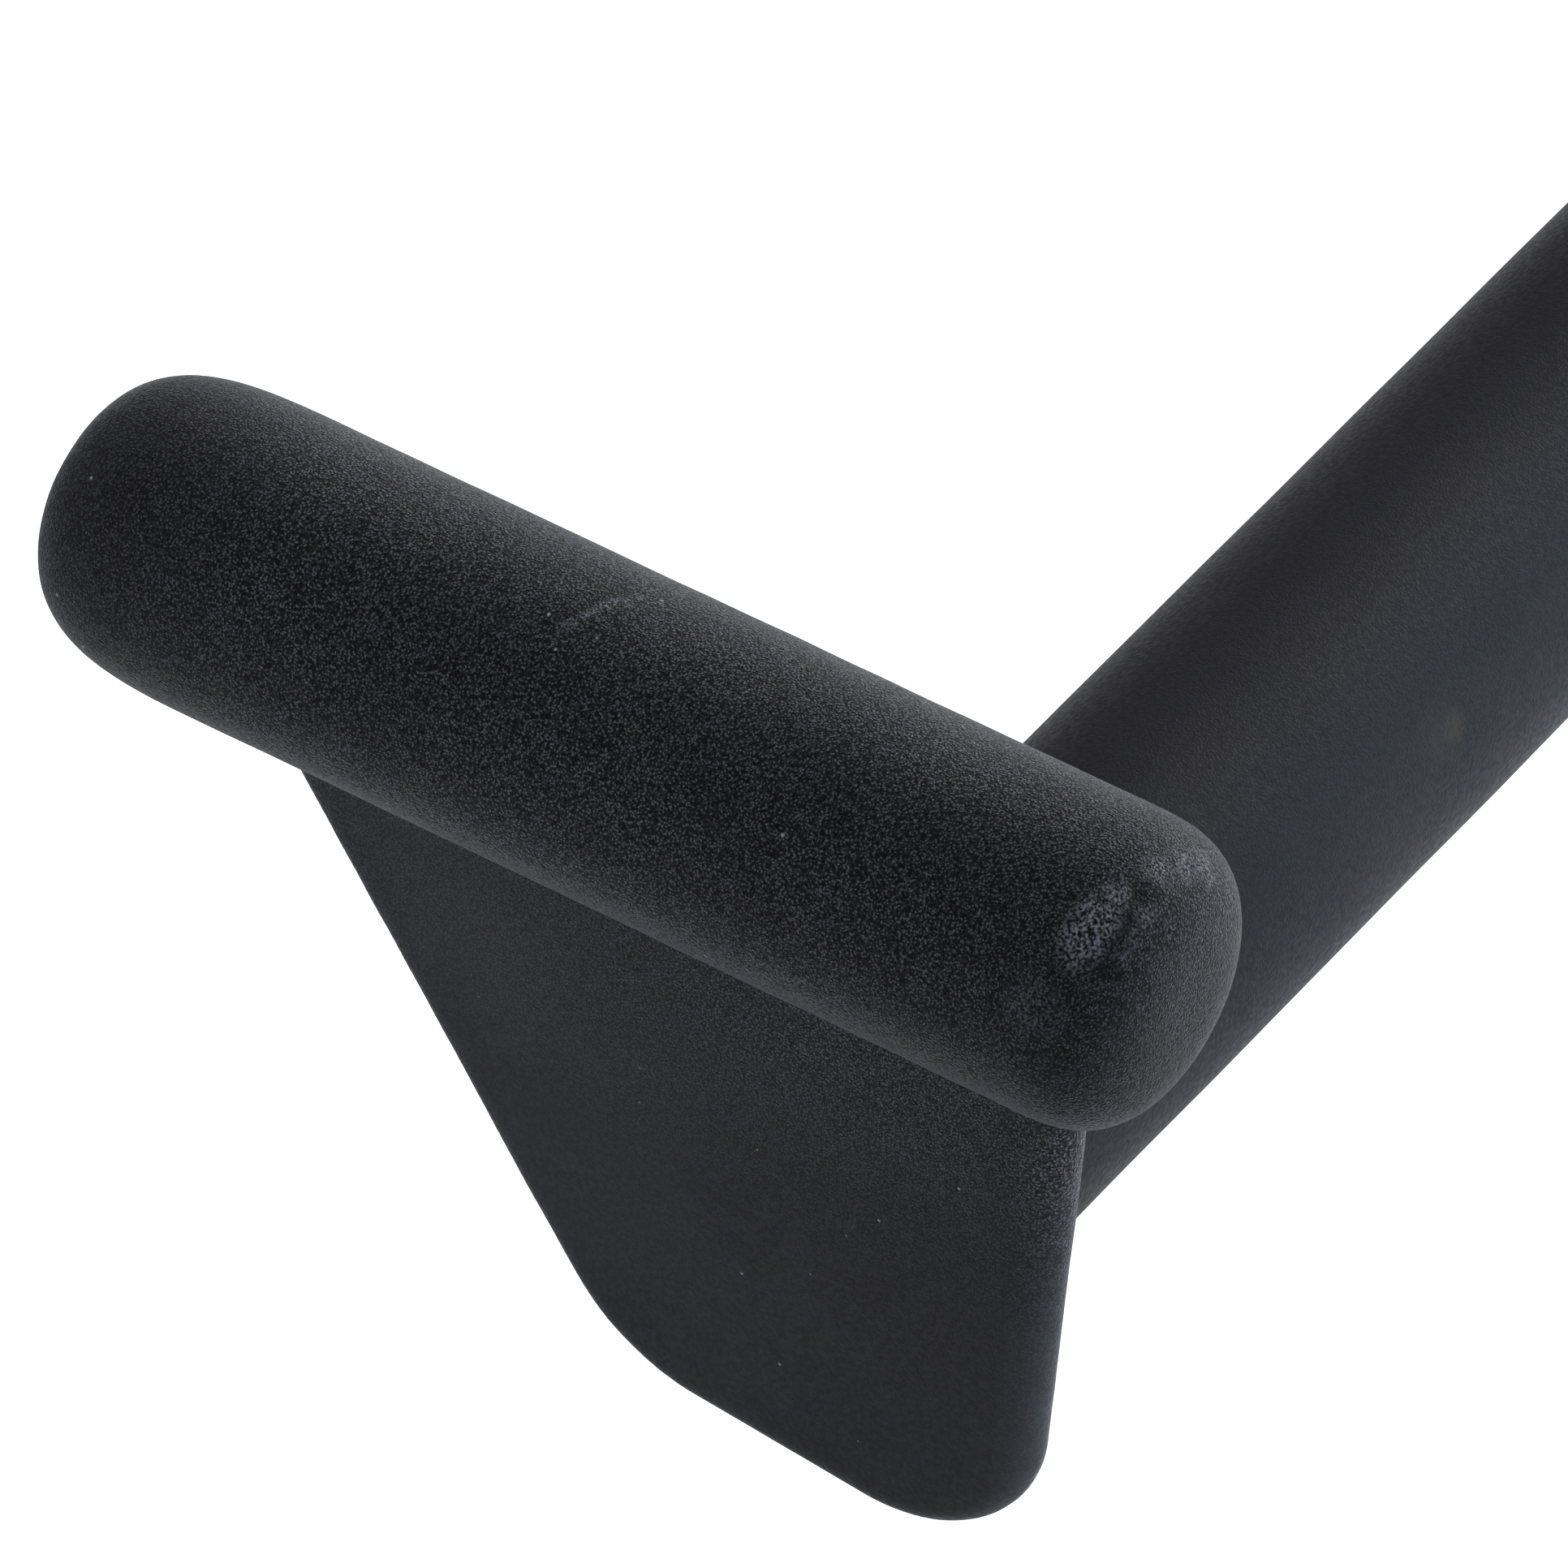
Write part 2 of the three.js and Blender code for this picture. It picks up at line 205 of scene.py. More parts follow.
def scuff(p):
    """A shallow arc pressed into the top of the left roll."""
    cx, cy, cz = SCUFF["centre"]
    dx, dy = p[:, 0] / MM - cx, p[:, 1] / MM - (cy + SCUFF["radius"] - 1)
    ring = (np.hypot(dx, dy) - SCUFF["radius"]) / SCUFF["width"]
    arc = np.clip(-dy / SCUFF["radius"], 0, 1) * (p[:, 2] > (cz - 4) * MM)
    return np.exp(-ring * ring) * arc ** 1.5 * SCUFF["depth"] * MM


def grip_field(side):
    """Distance field of one coated grip; side is -1 for the left and +1 for the right."""
    def field(p):
        x, y, z = p[:, 0] - side * GRIP_X, p[:, 1], p[:, 2]
        roll = roll_field(x, y - ROLL_Y, z - ROLL_Z)
        paddle = paddle_field(x, y, z - BAR_Z)
        d = soft_union(roll, paddle, FILLET)
        d = d + 0.06 * MM * waves(p, 11 + side, 22 * MM) + 0.03 * MM * waves(p, 21 + side, 7 * MM)
        if side < 0:
            for centre, sizes, height in LEFT_MARKS:
                d = d - height * MM * dab(p, centre, sizes)
            d = d + scuff(p)
        return d
    return field


# ---------------------------------------------------------------- meshes
def net(field, low, high, step):
    """Quads over the zero level of a field between two corners, with points drawn onto it."""
    axes = [np.arange(a, b + step, step) for a, b in zip(low, high)]
    shape = tuple(len(a) for a in axes)
    values = np.empty(shape)
    for i, x in enumerate(axes[0]):
        y, z = np.meshgrid(axes[1], axes[2], indexing="ij")
        p = np.stack([np.full(y.size, x), y.ravel(), z.ravel()], 1)
        values[i] = field(p).reshape(y.shape)
    inside = values < 0
    cells = np.zeros(tuple(n - 1 for n in shape), int)
    for dx in (0, 1):
        for dy in (0, 1):
            for dz in (0, 1):
                cells += inside[dx:shape[0] - 1 + dx, dy:shape[1] - 1 + dy, dz:shape[2] - 1 + dz]
    crossed = (cells > 0) & (cells < 8)
    number = np.full(crossed.shape, -1)
    number[crossed] = np.arange(crossed.sum())
    points = np.array(low) + (np.argwhere(crossed) + 0.5) * step
    faces = []
    for axis in range(3):
        a = np.moveaxis(inside, axis, 0)
        cell = np.moveaxis(number, axis, 0)
        change = a[:-1, 1:-1, 1:-1] != a[1:, 1:-1, 1:-1]
        i, j, k = np.nonzero(change)
        quad = np.stack([cell[i, j, k], cell[i, j + 1, k], cell[i, j + 1, k + 1], cell[i, j, k + 1]], 1)
        leaving = a[:-1, 1:-1, 1:-1][i, j, k]
        flip = leaving if axis != 1 else ~leaving
        quad[~flip] = quad[~flip][:, ::-1]
        faces.append(quad)
    faces = np.concatenate(faces)
    for settle in range(4):
        points = onto(field, points, step)
        if settle < 3:
            points = relax(points, faces)
    return points, faces


def onto(field, points, step, rounds=3):
    """Moves points onto the zero level of the field."""
    h = 0.05 * step
    for _ in range(rounds):
        d = field(points)
        slope = np.empty_like(points)
        for axis in range(3):
            nudge = np.zeros(3)
            nudge[axis] = h
            slope[:, axis] = (field(points + nudge) - field(points - nudge)) / (2 * h)
        points = points - slope * (d / np.maximum((slope * slope).sum(1), 1e-9))[:, None]
    return points


def relax(points, faces):
    """Each point halfway to the middle of its neighbours."""
    total = np.zeros_like(points)
    count = np.zeros(len(points))
    for a, b in ((0, 1), (1, 2), (2, 3), (3, 0)):
        for i, j in ((a, b), (b, a)):
            for axis in range(3):
                total[:, axis] += np.bincount(faces[:, i], points[faces[:, j], axis], len(points))
            count += np.bincount(faces[:, i], minlength=len(points))
    return (points + total / count[:, None]) / 2


def make(name, points, faces, material):
    """A smooth-shaded object from points and faces, lying where its points say."""
    mesh = bpy.data.meshes.new(name)
    mesh.from_pydata([tuple(p) for p in points], [], [tuple(int(i) for i in f) for f in faces])
    mesh.polygons.foreach_set("use_smooth", [True] * len(mesh.polygons))
    mesh.materials.append(material)
    mesh.update()
    piece = bpy.data.objects.new(name, mesh)
    bpy.context.scene.collection.objects.link(piece)
    return piece


# ---------------------------------------------------------------- materials
class Nodes:
    """Short hand for building one material's node tree."""

    def __init__(self, name):
        self.material = bpy.data.materials.new(name)
        self.material.use_nodes = True
        self.tree = self.material.node_tree
        self.shader = self.tree.nodes["Principled BSDF"]
        self.where = self.add("ShaderNodeTexCoord").outputs["Object"]

    def add(self, kind, **settings):
        node = self.tree.nodes.new(kind)
        for key, value in settings.items():
            if key in node.inputs:
                node.inputs[key].default_value = value
            else:
                setattr(node, key, value)
        return node

    def link(self, a, b):
        self.tree.links.new(a, b)

    def set(self, **sockets):
        for key, value in sockets.items():
            self.shader.inputs[key.replace("_", " ")].default_value = value

    def noise(self, scale, detail=2.0, roughness=0.5, where=None):
        node = self.add("ShaderNodeTexNoise", Scale=scale, Detail=detail, Roughness=roughness)
        self.link(where or self.where, node.inputs["Vector"])
        return node.outputs["Fac"]

    def cells(self, scale):
        """A random number for each cell of a scattered pattern, and the distance to its centre."""
        node = self.add("ShaderNodeTexVoronoi", Scale=float(scale))
        self.link(self.where, node.inputs["Vector"])
        split = self.add("ShaderNodeSeparateColor")
        self.link(node.outputs["Color"], split.inputs[0])
        return split.outputs[0], node.outputs["Distance"]

    def y_and_z(self):
        """The place's Y and Z in the row's frame."""
        split = self.add("ShaderNodeSeparateXYZ")
        self.link(self.where, split.inputs[0])
        return split.outputs["Y"], split.outputs["Z"]

    def calm(self):
        """How strong the grain is: full on the roll, weaker down the paddle and towards its back."""
        y, z = self.y_and_z()
        roll = self.math("MULTIPLY", self.spread(z, ROLL_Z - 27 * MM, ROLL_Z - 19 * MM, 0.0, 1.0),
                         self.spread(y, 60 * MM, 92 * MM, 1.0, 0.55))
        paddle = self.math("MULTIPLY", self.spread(z, ROLL_Z - 56 * MM, ROLL_Z - 27 * MM, 0.22, 1.0),
                           self.spread(z, ROLL_Z - 78 * MM, ROLL_Z - 54 * MM, 0.4, 1.0))
        paddle = self.math("MULTIPLY", paddle, self.spread(y, -8 * MM, 40 * MM, 1.0, 0.4))
        return self.math("MAXIMUM", roll, paddle)

    def painted_edge_light_and_under_shade(self):
        """Painted light along the paddle's front edge and painted shade on the underside of the roll."""
        y, z = self.y_and_z()
        lean = self.math("MULTIPLY", self.math("SUBTRACT", z, BAR_Z), math.tan(FRONT_EDGE_LEAN))
        inset = self.math("SUBTRACT", self.math("ADD", y, lean), FRONT_EDGE_Y)
        # painted light along the paddle's front edge
        edge = self.math("MULTIPLY", self.spread(inset, -0.5 * MM, 4.5 * MM, 1.1, 0.0),
                         self.spread(z, ROLL_Z - 28 * MM, ROLL_Z - 22 * MM, 1.0, 0.0))
        # painted shade on the underside of the roll
        under = self.math("MAXIMUM", self.spread(z, ROLL_Z - 21 * MM, ROLL_Z - 16 * MM, 1.0, 0.80),
                          self.spread(z, ROLL_Z - 1 * MM, ROLL_Z + 6 * MM, 0.80, 1.0))
        return self.math("ADD", edge, under)

    def across(self, painted_shade_fade):
        """Painted shade over the top: a factor that falls from the front over the top, and rises again to the
        back.
        """
        (front_y, front), (top_y, top), (rear_y, _), (back_y, back) = painted_shade_fade
        y, _ = self.y_and_z()
        falling = self.spread(y, front_y * MM, top_y * MM, front, top)
        rising = self.spread(y, rear_y * MM, back_y * MM, top, back)
        return self.math("MAXIMUM", falling, rising)

    def math(self, operation, a, b):
        node = self.add("ShaderNodeMath", operation=operation)
        for socket, value in zip(node.inputs, (a, b)):
            if isinstance(value, (int, float)):
                socket.default_value = value
            else:
                self.link(value, socket)
        return node.outputs[0]

    def spread(self, value, low, high, to_low, to_high):
        """Carries low..high over to to_low..to_high, and holds the ends."""
        node = self.add("ShaderNodeMapRange")
        self.link(value, node.inputs["Value"])
        for key, number in zip(("From Min", "From Max", "To Min", "To Max"), (low, high, to_low, to_high)):
            node.inputs[key].default_value = number
        return node.outputs["Result"]

    def ramp(self, value, *stops):
        node = self.add("ShaderNodeValToRGB")
        self.link(value, node.inputs["Fac"])
        while len(node.color_ramp.elements) < len(stops):
            node.color_ramp.elements.new(0.5)
        for element, (place, colour) in zip(node.color_ramp.elements, stops):
            element.position = place
            element.color = (*colour, 1)
        return node.outputs["Color"]

    def mix(self, factor, a, b):
        node = self.add("ShaderNodeMix", data_type="RGBA")
        for key, value in (("Factor", factor), ("A", a), ("B", b)):
            sockets = [s for s in node.inputs if s.name == key and s.enabled]
            if isinstance(value, tuple):
                sockets[0].default_value = (*value, 1)
            elif isinstance(value, (int, float)):
                sockets[0].default_value = value
            else:
                self.link(value, sockets[0])
        return [s for s in node.outputs if s.enabled][0]

    def spot(self, centre, radius):
        """1 inside a soft ball round a point in millimetres, 0 outside."""
        node = self.add("ShaderNodeVectorMath", operation="DISTANCE")
        self.link(self.where, node.inputs[0])
        node.inputs[1].default_value = tuple(c * MM for c in centre)
        return self.spread(node.outputs["Value"], radius * MM * 0.35, radius * MM, 1.0, 0.0)


def rubber(name, tones, grain, sheen, specks, patches=(), painted_spots=(), stains=(), painted_shade_fade=None):
    """Matte black sprayed rubber: fine pebbled grain, faint cloudiness and a few light specks.

    patches are worn, flecked places; the next list holds spots of painted light (strength above 0)
    and painted shade (below 0), and stains are tan ones; each is (centre, radius, strength). The last
    argument is painted shade over the bar's top: a list of (Y, factor) from front to back.
    """
    n = Nodes(name)
    fine = n.noise(GRAIN_RATE, 0.0, 0.5)
    coarse = n.noise(GLOSS_RATE, 1.0, 0.5)
    cloud = n.noise(CLOUD_RATE, 3.0, 0.55)
    pebbles = n.spread(n.cells(PEBBLE_RATE)[1], 0.1, 0.8, 1.0, 0.0)
    grit = n.math("ADD", n.math("MULTIPLY", pebbles, 0.45), n.math("MULTIPLY", fine, 0.55))
    bright = n.spread(grit, 0.33, 0.67, -0.5 * grain, 0.5 * grain)
    relief = grit
    on_grips = bool(patches)     # only the grips' rubber has worn patches
    if on_grips:
        calm = n.calm()
        bright = n.math("MULTIPLY", bright, calm)
        relief = n.math("MULTIPLY", grit, calm)
    bright = n.math("ADD", bright, 0.5)
    colour = n.ramp(bright, *tones)
    cloudiness_and_painted_shading = n.spread(cloud, 0.3, 0.7, 0.85, 1.15)
    lift = None
    for centre, radius, strength in patches:
        here = n.math("MULTIPLY", n.spot(centre, radius), strength)
        lift = here if lift is None else n.math("MAXIMUM", lift, here)
    if lift is not None:
        flecks = n.spread(n.noise(PEBBLE_RATE, 0.0), 0.44, 0.66, 0.0, 1.0)
        worn = n.math("MULTIPLY", lift, flecks)
        colour = n.mix(worn, colour, FLECK_COLOUR)
    # spots of painted light and painted shade
    for centre, radius, strength in painted_spots:
        factor = n.spread(n.spot(centre, radius), 0.0, 1.0, 1.0, 1.0 + strength)
        cloudiness_and_painted_shading = n.math("MULTIPLY", cloudiness_and_painted_shading, factor)
    # painted light along the paddle's front edge and painted shade under the roll
    if on_grips:
        cloudiness_and_painted_shading = n.math("MULTIPLY", cloudiness_and_painted_shading, n.painted_edge_light_and_under_shade())
    # painted shade over the bar's top
    if painted_shade_fade:
        cloudiness_and_painted_shading = n.math("MULTIPLY", cloudiness_and_painted_shading, n.across(painted_shade_fade))
    shade = n.add("ShaderNodeVectorMath", operation="SCALE")
    n.link(colour, shade.inputs[0])
    n.link(cloudiness_and_painted_shading, shade.inputs["Scale"])
    coat = shade.outputs[0]
    for centre, radius, strength in stains:
        coat = n.mix(n.math("MULTIPLY", n.spot(centre, radius), strength), coat, STAIN_COLOUR)
    pick, distance = n.cells(SPECK_RATE)
    chosen = n.spread(pick, 1.0 - specks, 1.01 - specks, 0.0, 1.0)
    near = n.spread(distance, 0.05, 0.085, 1.0, 0.0)
    colour = n.mix(n.math("MULTIPLY", chosen, near), coat, SPECK_COLOUR)
    n.link(colour, n.shader.inputs["Base Color"])
    rough = n.spread(coarse, 0.35, 0.65, 0.54, 0.70)
    if lift is not None:
        rough = n.math("SUBTRACT", rough, n.math("MULTIPLY", lift, 0.14))
    n.link(rough, n.shader.inputs["Roughness"])
    bump = n.add("ShaderNodeBump", Strength=min(1.0, 0.1 + 0.9 * grain), Distance=0.24 * MM)
    n.link(relief, bump.inputs["Height"])
    n.link(bump.outputs["Normal"], n.shader.inputs["Normal"])
    n.set(Specular_IOR_Level=0.09, Sheen_Weight=sheen, Sheen_Roughness=0.22,
          Sheen_Tint=(0.88, 0.93, 1.0, 1.0))
    return n.material


def metal(name, dark, light, rough_low, rough_high, scale=260, stretch=(1, 1, 1)):
    """Bare or plated metal with drawn or mottled variation."""
    n = Nodes(name)
    mapping = n.add("ShaderNodeMapping")
    mapping.inputs["Scale"].default_value = stretch
    n.link(n.where, mapping.inputs["Vector"])
    streaks = n.noise(scale, 4.0, 0.6, mapping.outputs["Vector"])
    cloud = n.noise(60, 3.0, 0.5)
    n.link(n.mix(n.math("MULTIPLY", n.math("ADD", streaks, cloud), 0.5), dark, light),
           n.shader.inputs["Base Color"])
    n.link(n.spread(streaks, 0.35, 0.65, rough_low, rough_high), n.shader.inputs["Roughness"])
    relief = n.add("ShaderNodeBump", Strength=0.4, Distance=0.02 * MM)
    n.link(streaks, relief.inputs["Height"])
    n.link(relief.outputs["Normal"], n.shader.inputs["Normal"])
    n.set(Metallic=1.0)
    return n.material


def nylon_material():
    """Blue nylon with a faint cloudiness."""
    n = Nodes("nylon")
    cloud = n.noise(700, 3.0, 0.5)
    n.link(n.mix(cloud, (0.03, 0.12, 0.30), (0.06, 0.19, 0.42)), n.shader.inputs["Base Color"])
    n.link(n.spread(cloud, 0.3, 0.7, 0.40, 0.55), n.shader.inputs["Roughness"])
    n.set(Specular_IOR_Level=0.4)
    return n.material


def tones(*rows):
    """Ramp stops from (place, grey, blue over grey)."""
    return [(place, (grey, grey * 1.01, grey * blue)) for place, grey, blue in rows]


def trail(points, radius, strength):
    """Spots of one radius and strength at several points."""
    return [(point, radius, strength) for point in points]


# Places on the coating, each (centre, radius, strength) in millimetres of the row's frame.
WORN = [
    # the patch and the folds on the left roll's near end
    *trail([(-269.6, -42.7, 22.4), (-267.4, -42.9, 23.7)], 3.4, 0.80),
    *trail([(-271.4, -42.7, 21.0), (-264.6, -43.3, 24.8)], 2.4, 0.50),
    *trail([(-263.7, -46.1, 23.0), (-266.1, -46.3, 21.8), (-268.2, -46.3, 20.7)], 1.7, 0.40),
    *trail([(-258.4, -44.8, 24.4), (-255.2, -45.5, 23.2), (-252.4, -46.2, 21.2)], 2.6, 0.45),
    ((-276.0, -40.5, 15.4), 4.6, 0.18),
    # the arched scuff on its top
    *trail([(-264.4, 26.9, 25.7), (-263.2, 26.2, 26.0), (-262.0, 25.7, 26.2), (-260.8, 25.4, 26.3),
            (-259.6, 25.0, 26.3), (-258.4, 24.3, 26.2), (-257.2, 23.5, 26.1), (-256.0, 22.7, 25.8)],
           0.85, 0.42),
    *trail([(-261.3, 24.2, 26.3), (-258.0, 22.6, 26.2)], 0.6, 0.6),
]
# Spots of painted light (strength above 0) and painted shade (below 0) on the grips' rubber.
PAINTED_LIGHT_AND_SHADE_SPOTS = [
    # painted shade in the crease beside the patch, and below it
    *trail([(-262.7, -45.0, 24.2), (-264.7, -45.3, 23.4), (-266.6, -45.6, 22.4), (-268.2, -45.7, 21.3),
            (-269.7, -45.7, 20.2)], 1.7, -0.55),
    *trail([(-272.4, -45.6, 17.6), (-275.4, -45.0, 11.0), (-276.0, -44.0, 4.0)], 5.5, -0.26),
    # painted shade along the back of the scuff's groove
    *trail([(-264.0, 28.2, 25.8), (-261.4, 27.4, 26.2), (-258.8, 26.5, 26.2), (-256.6, 25.2, 25.9)],
           1.9, -0.24),
    # painted light on the back and the top of the left paddle, painted shade on its low front and on the
    # roll's end
    ((-263.5, 58.0, -40.0), 70.0, 0.45), ((-263.5, 15.0, -12.0), 45.0, 0.12),
    ((-260.0, -39.0, -46.0), 30.0, -0.12), ((-262.0, -50.0, 8.8), 22.0, -0.30),
]

# Tones of the coating's grain, darkest first: (place, grey, blue over grey).
GRIP_TONES = tones((0.0, 0.0012, 1.1), (0.5, 0.0130, 1.22), (0.75, 0.0255, 1.19), (1.0, 0.070, 1.15))
BAR_TONES = tones((0.0, 0.004, 1.25), (0.5, 0.0125, 1.34), (1.0, 0.030, 1.25))
# painted shade on the bar towards each paddle
BAR_PAINTED_SHADE_ENDS = [((side * 262.0, 0.0, BAR_Z / MM), 95.0, -0.50) for side in (-1, 1)]
BAR_STAINS = [((-161.2, -18.3, -43.1), 2.3, 0.60), ((-163.6, -18.2, -43.0), 4.8, 0.25)]
# painted shade over the top of the bar, lighter at its front and back
BAR_PAINTED_SHADE_FADE = [(-18, 1.19), (6, 0.50), (12, 0.50), (19, 1.15)]

GRIP_RUBBER = rubber("grip_rubber", GRIP_TONES, 1.0, 0.14, 0.10, WORN, PAINTED_LIGHT_AND_SHADE_SPOTS)
BAR_RUBBER = rubber("bar_rubber", BAR_TONES, 0.12, 0.01, 0.012, (), BAR_PAINTED_SHADE_ENDS, BAR_STAINS, BAR_PAINTED_SHADE_FADE)
STEEL = metal("mill_steel", (0.30, 0.30, 0.31), (0.46, 0.46, 0.47), 0.34, 0.5, stretch=(0.15, 1, 1))
ZINC = metal("zinc_plate", (0.30, 0.31, 0.33), (0.48, 0.49, 0.51), 0.25, 0.40, scale=420)
BRONZE = metal("bronze", (0.36, 0.20, 0.08), (0.55, 0.34, 0.15), 0.28, 0.44, scale=900)
NYLON = nylon_material()

# ---------------------------------------------------------------- coated grips
for name, side in (("left", -1), ("right", 1)):
    centre_x = side * GRIP_X
    low = (centre_x - ROLL_R - 2 * NET_STEP, coat_low[1] - 2 * NET_STEP, coat_low[2] - 2 * NET_STEP)
    high = (centre_x + ROLL_R + 2 * NET_STEP, coat_high[1] + 2 * NET_STEP, coat_high[2] + 2 * NET_STEP)
    coat = make(f"{name}_coated_grip", *net(grip_field(side), low, high, NET_STEP), GRIP_RUBBER)
    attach(coat, "bar")
    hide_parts(f"{name}_grip_coat")


# ---------------------------------------------------------------- bar sleeve
HUB_R = 15 * MM
HUB_ZONE = 20 * MM       # length each side of the hub's middle with finer rings
RING_STEP = 2.0 * MM
FINE_RING_STEP = 0.6 * MM
RING_POINTS = 176
SLEEVE_TUCK = 0.2 * MM   # how far the coat's ends go into the paddles
LIP_HEIGHT = 0.55 * MM   # the coat's raised edge round the hub
LIP_OUT = 0.9 * MM       # from the hub to the top of the lip
LIP_WIDTH = 1.1 * MM


def sleeve_points():
    """Rings of the coated bar from the left paddle to the right one, flared at both ends."""
    end = GRIP_X - PADDLE_THICK / 2 + SLEEVE_TUCK
    flare = np.linspace(0, math.pi / 2, 9)[1:]
    steps = BAR_FLARE * (1 - np.cos(flare))
    left = -end + steps
    middle = np.arange(-end + BAR_FLARE, -HUB_ZONE, RING_STEP)[1:]
    middle = np.concatenate([middle, np.arange(-HUB_ZONE, HUB_ZONE, FINE_RING_STEP), -middle[::-1]])
    xs = np.concatenate([[-end], left, middle, (-left)[::-1], [end]])
    around = RING_POINTS
    angles = np.arange(around) * 2 * math.pi / around
    rings = []
    for x in xs:
        off = end - abs(x)
        grow = BAR_FLARE - math.sqrt(max(BAR_FLARE ** 2 - (BAR_FLARE - min(off, BAR_FLARE)) ** 2, 0))
        rings.append(np.stack([np.full(around, x), (BAR_R + grow) * np.cos(angles),
                               BAR_Z + (BAR_R + grow) * np.sin(angles)], 1))
    points = np.concatenate(rings)
    away = points - np.stack([points[:, 0], np.zeros(len(points)), np.full(len(points), BAR_Z)], 1)
    away /= np.linalg.norm(away, axis=1)[:, None]
    calm = np.clip((end - np.abs(points[:, 0])) / (8 * MM), 0, 1)
    points = points - away * (0.08 * MM * waves(points, 5, 30 * MM) * calm)[:, None]
    out = np.hypot(points[:, 0], points[:, 1])
    lip = LIP_HEIGHT * np.exp(-((out - HUB_R - LIP_OUT) / LIP_WIDTH) ** 2)
    points = points + away * lip[:, None]
    faces = []
    for r in range(len(xs) - 1):
        for a in range(around):
            b = (a + 1) % around
            face = ((r + 1) * around + a, (r + 1) * around + b, r * around + b, r * around + a)
            if out[list(face)].max() > HUB_R - 1.5 * MM:     # leaves the hole for the hub
                faces.append(face)
    last_ring = range((len(xs) - 1) * around, len(xs) * around)
    return points, faces + [tuple(range(around)), tuple(reversed(last_ring))]


points, faces = sleeve_points()
sleeve = make("coated_bar", points, faces, BAR_RUBBER)
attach(sleeve, "bar")
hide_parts("bar_sleeve")


# ---------------------------------------------------------------- swivel and hanger eye
def heights(node):
    """Lowest and highest Z of a CAD node, and its largest radius about the swivel's axis."""
    low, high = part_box(node)
    return low[2], high[2], (high[0] - low[0]) / 2


def eased(corners, radius, steps=4):
    """A closed outline with each corner rounded off."""
    points = []
    corners = [np.array(c, float) for c in corners]
    for i, here in enumerate(corners):
        onward, back = corners[(i + 1) % len(corners)] - here, corners[i - 1] - here
        ahead, behind = np.linalg.norm(onward), np.linalg.norm(back)
        reach = min(radius, 0.45 * ahead, 0.45 * behind)
        a, b = here + back / behind * reach, here + onward / ahead * reach
        for t in np.linspace(0, 1, steps + 1):
            points.append((1 - t) ** 2 * a + 2 * t * (1 - t) * here + t * t * b)
    return points


def turned(name, corners, edge, material, body, node, side=1, around=96):
    """A ring turned about the swivel's axis from (radius, height) corners, with eased edges.

    side is 1 where the corners run anticlockwise, and -1 where they run clockwise.
    """
    outline = eased(corners, edge)
    angles = np.arange(around) * 2 * math.pi / around
    points = [(r * math.cos(a), r * math.sin(a), z) for a in angles for r, z in outline]
    count = len(outline)
    faces = []
    for i in range(around):
        for j in range(count):
            a, b = i * count + j, i * count + (j + 1) % count
            c, d = ((i + 1) % around) * count + (j + 1) % count, ((i + 1) % around) * count + j
            faces.append((a, d, c, b) if side > 0 else (a, b, c, d))
    return place(make(name, points, faces, material), body, node)


def place(piece, body, node):
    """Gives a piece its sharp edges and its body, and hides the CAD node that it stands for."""
    piece.data.set_sharp_from_angle(angle=math.radians(38))
    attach(piece, body)
    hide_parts(node)
    return piece


EYE_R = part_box("hanger_eye")[1][2]
EYE_HALF = 6 * MM
EYE_HOLE_R = 13 * MM
COLLAR_R = 12 * MM
COLLAR_LOW, COLLAR_HIGH = -26.0 * MM, -21.0 * MM
SHANK_R = 6 * MM
HOLE_GAP = 0.3 * MM      # round the shank in washers, nut and ring
BUSH_GAP = 0.1 * MM
BUSH_WALL_R = 8.5 * MM
BUSH_FLANGE = 1.2 * MM
HUB_BORE_R = 8.8 * MM
THREAD_PITCH = 1.75 * MM
THREAD_DEPTH = 0.85 * MM
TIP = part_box("hanger_eye")[0][2]
NUT_LOW, NUT_HIGH, _ = heights("lock_nut")
NUT_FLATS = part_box("lock_nut")[1][0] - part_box("lock_nut")[0][0]
NUT_HEX = 6.5 * MM       # height of the hexagon, above its neck
NUT_NECK_R = 9.2 * MM
NUT_CHAMFER = 1.7        # radius lost per height in the chamfer
NUT_CORNER = 0.512       # radius where the chamfer starts, over the width across flats
EYE_STEP = 0.45 * MM


def rounded_box(a, b, round_):
    """Distance in two directions already measured from the box's sides, with a rounded edge."""
    a, b = a + round_, b + round_
    return np.minimum(np.maximum(a, b), 0) + np.hypot(np.maximum(a, 0), np.maximum(b, 0)) - round_


def eye_field(p):
    """Forged ring with flat cheeks that flows into a round collar."""
    x, y, z = p.T
    middle, half = (EYE_R + EYE_HOLE_R) / 2, (EYE_R - EYE_HOLE_R) / 2
    ring = rounded_box(np.abs(np.hypot(x, z) - middle) - half, np.abs(y) - EYE_HALF, 3.2 * MM)
    centre = (COLLAR_LOW + COLLAR_HIGH) / 2
    collar = rounded_box(np.hypot(x, y) - COLLAR_R, np.abs(z - centre) - (COLLAR_HIGH - COLLAR_LOW) / 2,
                         1.1 * MM)
    whole = soft_union(ring, collar, 5 * MM)
    return np.maximum(whole, COLLAR_LOW - z) + 0.03 * MM * waves(p, 31, 6 * MM)


